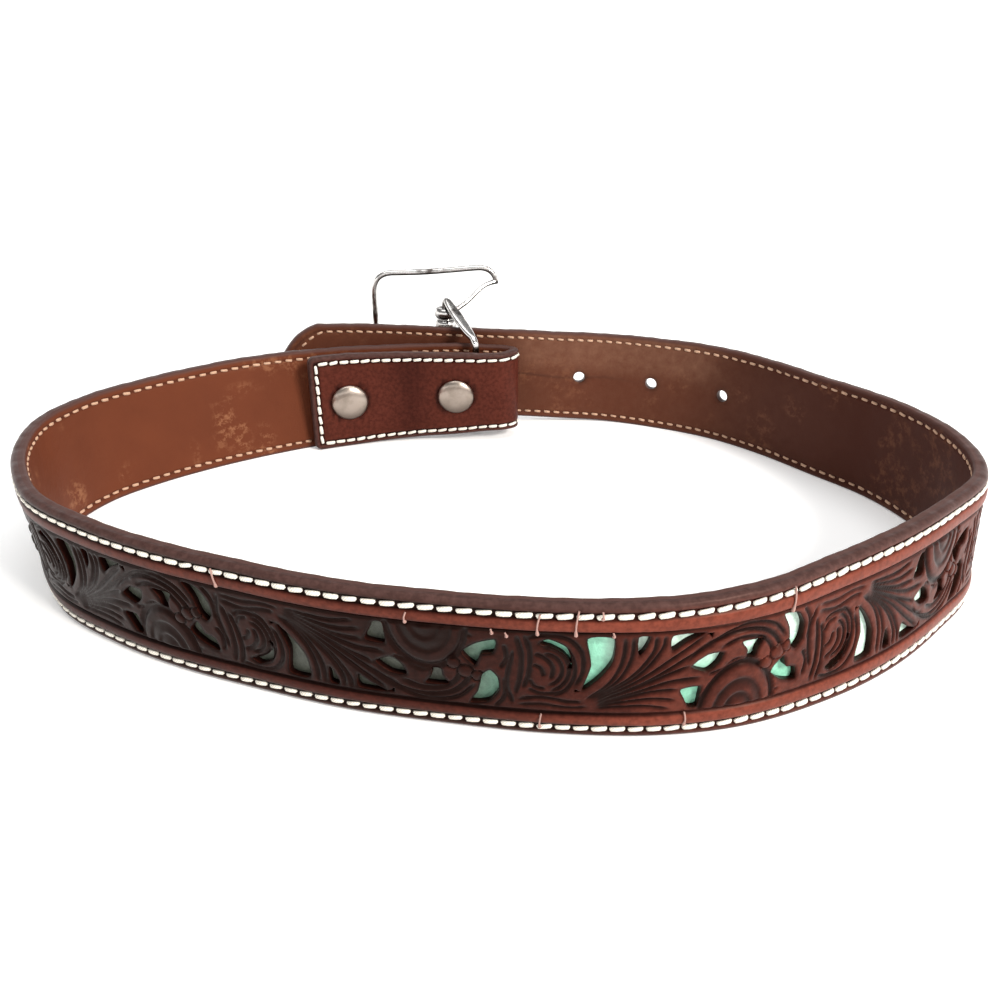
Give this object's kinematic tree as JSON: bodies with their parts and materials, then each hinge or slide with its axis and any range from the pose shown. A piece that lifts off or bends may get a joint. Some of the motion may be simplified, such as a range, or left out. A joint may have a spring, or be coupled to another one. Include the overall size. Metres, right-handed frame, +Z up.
{
  "type": "western belt",
  "caption": "Child's western belt of tooled, pierced and stitched leather over a coloured inlay, its buckle end closed by two snaps, with open wire buckle and loose billet, standing on its edge.",
  "frame": {"origin": "centre of the belt's box at the surface on which its lower edge stands", "axes": "+Z up across the strap's width, +X to the right along the loop's long way seen from the front, +Y from the front of the loop to the buckle at the back"},
  "size_m": [0.2412, 0.1902, 0.0514],
  "materials": {
    "tooled_leather": "oxblood brown tooled leather with darkened grooves and a soft shine",
    "mint_inlay": "mint coloured inlay leather, faded on one side",
    "lining_leather": "plain brown lining leather, worn and scuffed",
    "snap_metal": "dulled antique nickel snaps",
    "buckle_metal": "bright nickel plate with dark recesses"
  },
  "bodies": {
    "strap": {"tooled_strap": "tooled_leather", "inlay_sheet": "mint_inlay", "lining": "lining_leather", "snap_cap_1": "snap_metal", "snap_stud_1": "snap_metal", "snap_cap_2": "snap_metal", "snap_stud_2": "snap_metal", "bail": "buckle_metal"},
    "buckle": {"buckle_frame": "buckle_metal", "hook_post": "buckle_metal"}
  },
  "joints": [
    {"name": "buckle_swing", "type": "hinge", "parent": "strap", "child": "buckle", "pos_m": [-0.01722, 0.0835, 0.023], "axis": [0, 0, -1], "range_deg": [-6, 30]}
  ]
}
